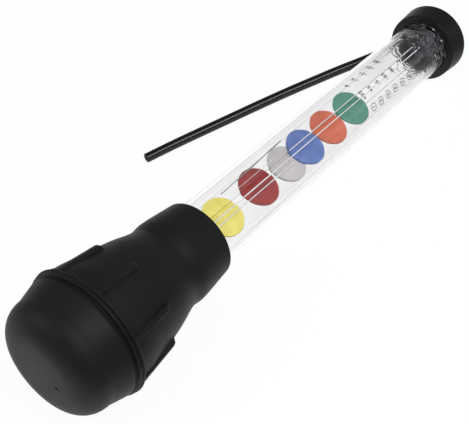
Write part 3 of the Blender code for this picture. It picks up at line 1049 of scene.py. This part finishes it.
def make_floor():
    """A wide pale floor that shows white and keeps a faint shadow. To reflections and to rays through clear
    plastic its white fades on the viewer's side."""
    mesh = bpy.data.meshes.new("floor")
    mesh.from_pydata([(x * floor_size, y * floor_size, floor_level)
                      for x, y in ((-1, -1), (1, -1), (1, 1), (-1, 1))], [], [(0, 1, 2, 3)])
    floor = bpy.data.objects.new("floor", mesh)
    bpy.context.scene.collection.objects.link(floor)
    material, tree, output = new_material("floor_pale")
    path = add_node(tree, "ShaderNodeLightPath")
    place = add_node(tree, "ShaderNodeNewGeometry").outputs["Position"]
    outward = towards(tree, place, barrel_side)
    by_barrel = ranged(tree, outward, 1.0, 0.0, table_near, table_far)
    by_bulb = combined(tree, "MULTIPLY", ranged(tree, outward, 1.0, 0.0, bulb_table_near, bulb_table_far),
                       ranged(tree, towards(tree, place, bulb_side), 1.0, 0.0,
                              bulb_floor_end, barrel_floor_start))
    through = bounced(path)
    lit = combined(tree, "MULTIPLY", through, combined(tree, "MAXIMUM", by_barrel, by_bulb))
    seen = combined(tree, "MULTIPLY", combined(tree, "MAXIMUM", path.outputs["Is Camera Ray"], lit),
                    floor_share)
    matte = add_node(tree, "ShaderNodeBsdfDiffuse", {"Color": (0.86, 0.86, 0.86, 1.0)})
    strength = combined(tree, "ADD", combined(tree, "MULTIPLY", through, floor_extra), floor_white)
    white = add_node(tree, "ShaderNodeEmission", {"Color": (1.0, 1.0, 1.0, 1.0)}, {"Strength": strength})
    dim = add_node(tree, "ShaderNodeEmission", {"Color": (1.0, 1.0, 1.0, 1.0), "Strength": viewer_level})
    mix = add_node(tree, "ShaderNodeMixShader", None, {0: seen, 1: matte.outputs[0], 2: white.outputs[0]})
    far = combined(tree, "SUBTRACT", through, lit)
    last = add_node(tree, "ShaderNodeMixShader", None, {0: far, 1: mix.outputs[0], 2: dim.outputs[0]})
    tree.links.new(last.outputs[0], output.inputs["Surface"])
    mesh.materials.append(material)


def make_world():
    """A soft grey room, with a low white backdrop behind the tester that gloss and clear plastic show too.
    A ray's height on the backdrop is the upward part of its direction."""
    world = bpy.data.worlds.new("room")
    world.use_nodes = True
    bpy.context.scene.world = world
    tree = world.node_tree
    tree.nodes.clear()
    output = tree.nodes.new("ShaderNodeOutputWorld")
    direction = add_node(tree, "ShaderNodeTexCoord").outputs["Generated"]
    parts = add_node(tree, "ShaderNodeSeparateXYZ", None, {"Vector": direction})
    low = ranged(tree, parts.outputs["Z"], 1.0, 0.0, backdrop_low, backdrop_high)
    behind = ranged(tree, towards(tree, direction, viewer_side), 1.0, 0.0,
                    backdrop_side_low, backdrop_side_high)
    path = add_node(tree, "ShaderNodeLightPath")
    shown = combined(tree, "MULTIPLY", bounced(path), combined(tree, "MULTIPLY", low, behind))
    seen = combined(tree, "MAXIMUM", shown, path.outputs["Is Camera Ray"])
    room = add_node(tree, "ShaderNodeBackground", {"Color": (0.97, 0.98, 1.0, 1.0), "Strength": room_level})
    white = add_node(tree, "ShaderNodeBackground", {"Color": (1.0, 1.0, 1.0, 1.0), "Strength": 1.0})
    mix = add_node(tree, "ShaderNodeMixShader", None, {0: seen, 1: room.outputs[0], 2: white.outputs[0]})
    tree.links.new(mix.outputs[0], output.inputs["Surface"])


def make_lamp(name, direction, distance, size, power):
    """A square soft lamp that faces the middle of the tester from a direction. Rays that have passed through
    clear plastic don't see it, which keeps white specks off the hose."""
    data = bpy.data.lights.new(name, "AREA")
    data.shape = "SQUARE"
    data.size = size
    data.energy = power
    lamp = bpy.data.objects.new(name, data)
    bpy.context.scene.collection.objects.link(lamp)
    back = np.array(direction) / np.linalg.norm(direction)
    right = np.cross((0.0, 0.0, 1.0), back)
    right /= np.linalg.norm(right)
    up = np.cross(back, right)
    lamp.matrix_world = Matrix([*zip(right, up, back, back * distance + lamp_target), (0, 0, 0, 1)])
    lamp.visible_transmission = False


make_camera()
make_hose()
make_bulb()
make_cap()
make_barrel()
make_cage()
make_painted_strips()
make_fingers()
dress_plates()
for disc in discs:
    make_disc(*disc)
make_scale()
make_floor()
make_world()
make_lamp("key", direction=(-0.10, -0.78, 0.62), distance=1.0, size=0.40, power=4.5)
make_lamp("fill", direction=(-0.58, 0.36, 0.73), distance=1.2, size=0.45, power=2.8)
bpy.context.scene.view_settings.view_transform = "Standard"
